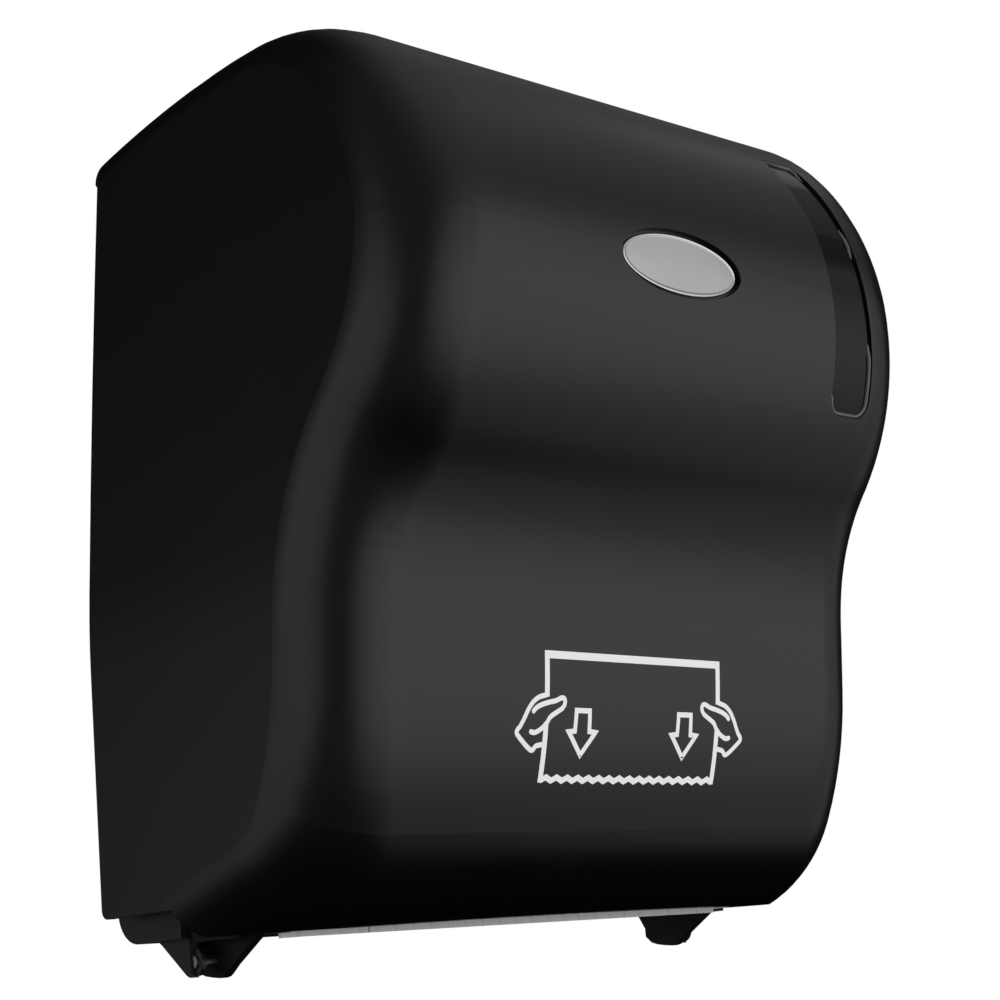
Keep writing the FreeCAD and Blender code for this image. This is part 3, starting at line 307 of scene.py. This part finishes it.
DRESSING = {
    moulded_black_abs: ["front_cover"],
    moulded_frame_abs: ["chassis", "side_frame_left", "side_frame_right", "paper_guide"],
    black_nylon: ["hinge_bracket_left", "hinge_bracket_right"],
    smoked_polycarbonate: ["roll_window"],
    satin_aluminium: ["nameplate"],
    zinc_plated_steel: [
        "hinge_pin_left", "hinge_pin_right", "frame_screws", "rear_tie_bar", "front_tie_bar", "drum_shaft",
        "knife_springs", "spring_anchor", "return_spring", "pinch_shaft", "arm_pins",
    ],
    stainless_blade_steel: ["serrated_knife"],
    light_grey_abs: [
        "outlet_chute", "roll_arm_left", "roll_arm_right", "arm_bracket_left", "arm_bracket_right",
    ],
    dark_grey_nylon: [
        "drum_shell_slotted", "drum_shell_plain", "drum_cap_left", "drum_cap_right", "crank_disc",
        "knife_carriage",
    ],
    natural_acetal: [
        "cam_roller", "cam_track", "drum_bush_left", "drum_bush_right", "pinch_bushes", "roll_hub_left",
        "roll_hub_right",
    ],
    ground_rubber: ["grip_bands", "pinch_rollers"],
    moulded_green_abs: ["feed_knob"],
    nickel_plated_zinc: ["lock_housing", "lock_barrel", "lock_cam"],
}


def dress_solids():
    """Gives every solid its finish. The finishes come back by name, for the pieces."""
    made = {}
    for make, nodes in DRESSING.items():
        made[make.__name__] = make()
        for node in nodes:
            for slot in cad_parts[node].material_slots:
                slot.material = made[make.__name__]
    return made


# ---------------------------------------------------------------- pieces


def finish_mesh(name, mesh):
    data = bpy.data.meshes.new(name)
    mesh.to_mesh(data)
    mesh.free()
    return data


def new_piece(name, mesh, material, body):
    """A piece of that drawn shape and material, which moves with that body."""
    piece = bpy.data.objects.new(name, finish_mesh(name, mesh))
    bpy.context.scene.collection.objects.link(piece)
    piece.data.materials.append(material)
    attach(piece, body)
    return piece


def cover_front(across_mm, height_mm):
    """Where a line from the front, at that place, meets the cover's outside."""
    start = Vector((across_mm * MM, AHEAD, above_feet(height_mm)))
    found, place, normal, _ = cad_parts["front_cover"].ray_cast(start, Vector((0, 1, 0)))
    if not found:
        raise RuntimeError(f"no cover at {across_mm}, {height_mm}")
    return place, normal


# The oval nameplate, in mm: its middle across, its height and half its size.
PLATE_ACROSS = -7.7
PLATE_HEIGHT = 268.8
PLATE_LONG = 34.2
PLATE_SHORT = 12.9
PLATE_BACK = 218.3
PLATE_SIDES = 128
# From the back of the plate's edge to its middle: how far in, how far forward, and the finish
# of the strip that ends there, where 1 is the bright one.
PLATE_STEPS = [(0, 0, 0), (0, 0.55, 1), (0.25, 0.95, 1), (0.75, 1.2, 1), (1.15, 1.14, 1), (1.3, 0.98, 1),
               (2.2, 1.0, 0), (5, 1.06, 0), (9, 1.12, 0), (12.2, 1.14, 0)]


def make_nameplate(satin, polished):
    """A blank plate, very slightly domed inside a rim that is rounded and cut bright."""
    mesh = bmesh.new()
    rings = []
    for inwards, forward, _ in PLATE_STEPS:
        ring = []
        for n in range(PLATE_SIDES):
            turn = 2 * math.pi * n / PLATE_SIDES
            across = PLATE_ACROSS + (PLATE_LONG - inwards) * math.cos(turn)
            height = PLATE_HEIGHT + (PLATE_SHORT - inwards) * math.sin(turn)
            ring.append(mesh.verts.new((across * MM, -(PLATE_BACK + forward) * MM, above_feet(height))))
        rings.append(ring)
    for (outer, inner), (_, _, bright) in zip(zip(rings, rings[1:]), PLATE_STEPS[1:]):
        for n in range(PLATE_SIDES):
            face = mesh.faces.new((outer[n - 1], outer[n], inner[n], inner[n - 1]))
            face.material_index = bright
    mesh.faces.new(rings[-1])
    mesh.faces.new(reversed(rings[0]))
    bmesh.ops.recalc_face_normals(mesh, faces=mesh.faces)
    for face in mesh.faces:
        face.smooth = True
    piece = new_piece("domed_nameplate", mesh, satin, "cover")
    piece.data.materials.append(polished)
    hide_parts("nameplate")


# The roll window's corners from its lower inner one: across, height and radius, in mm.
WINDOW_CORNERS = [(90.6, 219.2, 7), (89.9, 262, 300), (85, 342.7, 1.5), (106.6, 342.7, 4),
                  (111.4, 299, 200), (116.6, 241, 150), (117, 219.2, 8)]
BEAD_INWARDS = 1.3
BEAD_RADIUS = 0.85
BEAD_ABOVE_PANE = 0.3
BEAD_SIDES = 12
# How far apart points lie on the bead's corners, and the least distance that two points keep.
CORNER_STEP = 0.8
LEAST_STEP = 0.2


def round_line(corners, inwards):
    """A closed line round the corners, moved inwards, with an arc at each corner."""
    line = []
    for before, here, after in zip(corners[-1:] + corners[:-1], corners, corners[1:] + corners[:1]):
        point = Vector(here[:2])
        arrive = (point - Vector(before[:2])).normalized()
        leave = (Vector(after[:2]) - point).normalized()
        half_turn = arrive.angle(leave) / 2
        middle = point + (leave - arrive).normalized() * here[2] / math.cos(half_turn)
        first = (point - arrive * here[2] * math.tan(half_turn)) - middle
        radius = abs(here[2] - inwards)
        count = max(2, round(2 * half_turn * here[2] / CORNER_STEP))
        side = 1 if arrive.cross(leave) > 0 else -1
        for n in range(count + 1):
            turn = Matrix.Rotation(side * 2 * half_turn * n / count, 2)
            line.append(middle + (turn @ first).normalized() * radius)
    return line


def make_window_bead(edge):
    """The raised half-round edge moulded round the window pane."""
    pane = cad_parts["roll_window"]
    spine = []
    for point in round_line(WINDOW_CORNERS, BEAD_INWARDS):
        start = Vector((point.x * MM, AHEAD, above_feet(point.y)))
        found, place, normal, _ = pane.ray_cast(start, Vector((0, 1, 0)))
        if found and (not spine or (place - spine[-1][0]).length > LEAST_STEP * MM):
            spine.append((place, normal))
    mesh = bmesh.new()
    rows = []
    for n, (place, normal) in enumerate(spine):
        way = (spine[(n + 1) % len(spine)][0] - spine[n - 1][0]).normalized()
        across = way.cross(normal).normalized()
        centre = place + normal * BEAD_ABOVE_PANE * MM
        row = []
        for k in range(BEAD_SIDES):
            turn = 2 * math.pi * k / BEAD_SIDES
            outwards = across * math.cos(turn) + normal * math.sin(turn)
            row.append(mesh.verts.new(centre + outwards * BEAD_RADIUS * MM))
        rows.append(row)
    for here, there in zip(rows, rows[1:] + rows[:1]):
        for k in range(BEAD_SIDES):
            mesh.faces.new((here[k - 1], here[k], there[k], there[k - 1])).smooth = True
    bmesh.ops.recalc_face_normals(mesh, faces=mesh.faces)
    new_piece("window_bead", mesh, edge, "cover")


# The pull-down pictogram, in mm from the cover's middle and above the feet.
SHEET_HALF = 51
SHEET_TOP = 114.3
SHEET_FOOT = 65.8
SHEET_LEAN = 0.007
SIDE_BREAK = (97.5, 87.5)
TOOTH_PITCH = 6
TOOTH_HEIGHT = 1.3
SIDE_BELOW_FOOT = 1.4
TOP_STROKE = 3.1
SIDE_STROKE = 2.6
TOOTH_STROKE = 2.3
HAND_STROKE = 2.0
ARROW_STROKE = 2.1
HAND = [(51.5, 98.2), (55.7, 97.1), (59.0, 94.9), (61.4, 91.8), (63.4, 88.3), (65.0, 85.8), (66.8, 83.6),
        (65.4, 81.6), (58.3, 76.7), (55.6, 78.3), (51.5, 79.0)]
THUMB = [(58.2, 91.7), (56.8, 93.0), (54.2, 94.2), (50.2, 95.3), (46.2, 96.1), (42.9, 97.3), (41.3, 96.9),
         (41.0, 95.2), (42.4, 93.2), (45.4, 91.6), (48.8, 89.7), (50.6, 87.4), (52.8, 85.4), (55.3, 84.0),
         (57.3, 83.4), (59.1, 83.7)]
ARROW = [(26.6, 92.6), (34.2, 92.6), (34.5, 84.5), (38.0, 84.1), (30.4, 75.2), (22.8, 84.1), (26.3, 84.5)]
INK_ABOVE = 0.03
INK_LAYER = 0.006
# Which strokes lie over which where they cross.
FRAME_LAYER, SIDE_LAYER, TOOTH_LAYER, HAND_LAYER, THUMB_LAYER = 0, 1, 2, 3, 5
ROUND_END_STEPS = 6
# The least cosine that a corner's mitre is worked out with, so that sharp corners stay short.
MITRE_LIMIT = 0.35


def mirror_of(points):
    return [(-across, height) for across, height in points]


def smooth_line(points, step_mm=0.6):
    """A Catmull-Rom curve through the points, as short runs."""
    line = []
    ends = [points[0]] + points + [points[-1]]
    for before, here, there, after in zip(ends, ends[1:], ends[2:], ends[3:]):
        count = max(1, round(math.dist(here, there) / step_mm))
        for n in range(count):
            t = n / count
            line.append(tuple(
                0.5 * (2 * b + (c - a) * t + (2 * a - 5 * b + 4 * c - d) * t * t
                       + (3 * b - a - 3 * c + d) * t * t * t)
                for a, b, c, d in zip(before, here, there, after)
            ))
    return line + [points[-1]]


def straight_line(points, step_mm=2.0):
    """The same corners with more points between them, so that the line can follow the cover."""
    line = []
    for here, there in zip(points, points[1:]):
        count = max(1, math.ceil(math.dist(here, there) / step_mm))
        line += [tuple(a + (b - a) * n / count for a, b in zip(here, there)) for n in range(count)]
    return line + [points[-1]]


def stroke(mesh, line, width, layer, closed=False):
    """A band of ink along a line, lying on the cover's front. Later layers lie a little higher."""
    count = len(line)
    lift = (INK_ABOVE + INK_LAYER * layer) * MM
    rows = []
    for n, here in enumerate(line):
        before = line[(n - 1) % count] if closed or n > 0 else here
        after = line[(n + 1) % count] if closed or n < count - 1 else here
        arrive = Vector((here[0] - before[0], here[1] - before[1]))
        leave = Vector((after[0] - here[0], after[1] - here[1]))
        arrive = arrive.normalized() if arrive.length else leave.normalized()
        leave = leave.normalized() if leave.length else arrive
        way = (arrive + leave).normalized()
        side = Vector((-way.y, way.x)) * (width / 2) / max(MITRE_LIMIT, way.dot(leave))
        row = []
        for sign in (-1, 1):
            place, normal = cover_front(here[0] + sign * side.x, here[1] + sign * side.y)
            row.append(mesh.verts.new(place + normal * lift))
        rows.append(row)
    pairs = list(zip(rows, rows[1:] + rows[:1])) if closed else list(zip(rows, rows[1:]))
    for a, b in pairs:
        mesh.faces.new((a[0], b[0], b[1], a[1]))


def leaned(points):
    """The print sits a hair lower on the right."""
    return [(across, height - SHEET_LEAN * across) for across, height in points]


def round_end(mesh, place, towards, width, layer):
    """The half round that ends an open stroke."""
    away = math.atan2(place[1] - towards[1], place[0] - towards[0])
    line = []
    for n in range(ROUND_END_STEPS + 1):
        turn = away - math.pi / 2 + math.pi * n / ROUND_END_STEPS
        line.append((place[0] + width / 2 * math.cos(turn), place[1] + width / 2 * math.sin(turn)))
    fan = []
    for across, height in line:
        spot, normal = cover_front(across, height)
        fan.append(mesh.verts.new(spot + normal * (INK_ABOVE + INK_LAYER * layer) * MM))
    mesh.faces.new(fan)


def make_pictogram(ink):
    """White screen print: two hands that pull a sheet of towel down, with two arrows."""
    mesh = bmesh.new()
    left, right = -SHEET_HALF, SHEET_HALF
    top = [(left - SIDE_STROKE / 2, SHEET_TOP), (right + SIDE_STROKE / 2, SHEET_TOP)]
    stroke(mesh, leaned(straight_line(top)), TOP_STROKE, FRAME_LAYER)
    for side in (left, right):
        for high, low in ((SHEET_TOP, SIDE_BREAK[0]), (SIDE_BREAK[1], SHEET_FOOT - SIDE_BELOW_FOOT)):
            stroke(mesh, leaned(straight_line([(side, high), (side, low)])), SIDE_STROKE, SIDE_LAYER)
    teeth = round(2 * SHEET_HALF / TOOTH_PITCH)
    edge = []
    for n in range(2 * teeth + 1):
        height = SHEET_FOOT + (TOOTH_HEIGHT if n % 2 else -TOOTH_HEIGHT) / 2
        edge.append((left + n * TOOTH_PITCH / 2, height))
    stroke(mesh, leaned(edge), TOOTH_STROKE, TOOTH_LAYER)
    for mirrored in (False, True):
        for points, layer in ((HAND, HAND_LAYER), (THUMB, THUMB_LAYER)):
            line = leaned(smooth_line(mirror_of(points) if mirrored else points))
            stroke(mesh, line, HAND_STROKE, layer)
            round_end(mesh, line[0], line[1], HAND_STROKE, layer)
            round_end(mesh, line[-1], line[-2], HAND_STROKE, layer)
    for points in (ARROW, mirror_of(ARROW)):
        outline = leaned(straight_line(points + points[:1]))[:-1]
        stroke(mesh, outline, ARROW_STROKE, FRAME_LAYER, closed=True)
    new_piece("pull_down_pictogram", mesh, ink, "cover")


# ---------------------------------------------------------------- studio


# Soft panels of light far from the object, as it sees them: the compass angle (0 at its left side,
# 90 in front, 180 at its right side), the angle above the horizon, the half width and half height
# for a distance of 1, how soft the edge is and how bright the panel is, where 1 is white.
PANELS = {
    "left_strip": (-16, 1, 0.81, 0.40, 0.38, 0.437),
    "left_strip_top": (-23, 20, 0.45, 0.23, 0.23, 0.167),
    "left_core": (2, 5, 0.3, 0.25, 0.6, 0.096),
    "front": (103, -2, 0.89, 0.60, 0.35, 0.595),
    "front_core": (95, -5, 0.45, 0.35, 0.6, 0.304),
    "front_right": (142, -6, 0.65, 0.6, 0.18, 0.323),
    "overhead": (124, 63, 1.0, 0.87, 0.8, 0.31),
    "backdrop": (-146, 49, 0.35, 1.17, 1.0, 0.137),
    "ceiling": (59, 29, 3.2, 1.17, 0.19, 0.097),
    "pane_sheet": (172, 40, 0.22, 0.25, 0.05, 0.08),
    "pane_lamp": (193, 41, 0.15, 0.13, 0.8, 0.35),
}
# What dull surfaces see from every side besides the panels.
ROOM = 0.45
# The floor lies well below the wall-hung object, in m.
FLOOR_LEVEL = -1.1
FLOOR_RADIUS = 2.5
FLOOR_SIDES = 96


def add_panel(tree, direction, compass, above, half_width, half_height, softness, brightness):
    """One soft oval of light in that direction."""
    compass, above = math.radians(compass), math.radians(above)
    centre = (-math.cos(above) * math.cos(compass), -math.cos(above) * math.sin(compass), math.sin(above))
    turn = (above, 0, math.atan2(math.cos(compass), -math.sin(compass)))
    oval = {"Location": centre, "Rotation": turn, "Scale": (half_width, 1, half_height)}
    place = add(tree, "Mapping", oval, {"Vector": direction}, vector_type="TEXTURE")
    inside = add(tree, "TexGradient", links={"Vector": place}, gradient_type="SPHERICAL").outputs["Fac"]
    return add(tree, "MapRange", {"From Max": softness, "To Max": brightness}, {"Value": inside},
               interpolation_type="SMOOTHSTEP")


def make_world():
    """A studio of soft panels. The eye sees white behind the object. Clear and glossy surfaces see
    the panels, the backdrop's among them, and dull ones see the lit room too."""
    world = bpy.data.worlds.new("studio")
    bpy.context.scene.world = world
    world.use_nodes = True
    tree = world.node_tree
    tree.nodes.clear()
    path = add(tree, "LightPath")
    direction = add(tree, "TexCoord").outputs["Generated"]
    panels = None
    for shape in PANELS.values():
        panel = add_panel(tree, direction, *shape)
        panels = add(tree, "Math", links={0: panels, 1: panel}, operation="ADD") if panels else panel
    lit_room = add(tree, "Math", {1: ROOM}, {0: panels}, operation="ADD")
    kinds = {0: path.outputs["Is Glossy Ray"], 1: path.outputs["Is Transmission Ray"]}
    shiny = add(tree, "Math", links=kinds, operation="MAXIMUM")
    around = add(tree, "Mix", links={0: shiny, 2: lit_room, 3: panels}, data_type="FLOAT")
    strength = add(tree, "Mix", {3: 1.0}, {0: path.outputs["Is Camera Ray"], 2: around}, data_type="FLOAT")
    background = add(tree, "Background", {"Color": (1, 1, 1, 1)}, {"Strength": strength})
    connect(tree, add(tree, "OutputWorld"), {"Surface": background})


def pale_floor_paint():
    """Matt emulsion paint, rolled: off-white with a faint mottle."""
    material, tree, shader, place = start_finish("pale_floor_paint", {"Specular IOR Level": 0.2})
    mottle = add(tree, "TexNoise", {"Scale": per_mm(40), "Detail": 3}, {"Vector": place})
    shade = add(tree, "Mix", {6: linear("#ededeb"), 7: linear("#f3f3f1")}, {0: mottle}, data_type="RGBA")
    gloss = add(tree, "MapRange", {"To Min": 0.7, "To Max": 0.85}, {"Value": mottle})
    connect(tree, shader, {"Base Color": shade.outputs[2], "Roughness": gloss})
    return material


def make_floor():
    mesh = bmesh.new()
    bmesh.ops.create_circle(mesh, cap_ends=True, segments=FLOOR_SIDES, radius=FLOOR_RADIUS)
    floor = bpy.data.objects.new("studio_floor", finish_mesh("studio_floor", mesh))
    bpy.context.scene.collection.objects.link(floor)
    floor.location.z = FLOOR_LEVEL
    floor.visible_glossy = False
    floor.data.materials.append(pale_floor_paint())


make_camera()
make_world()
make_floor()
finishes = dress_solids()
make_nameplate(finishes["satin_aluminium"], polished_aluminium())
# The bead's pale grey finish is a painted highlight.
make_window_bead(pane_edge_painted_highlight())
make_pictogram(white_screen_ink())

bpy.context.scene.view_settings.view_transform = "Standard"
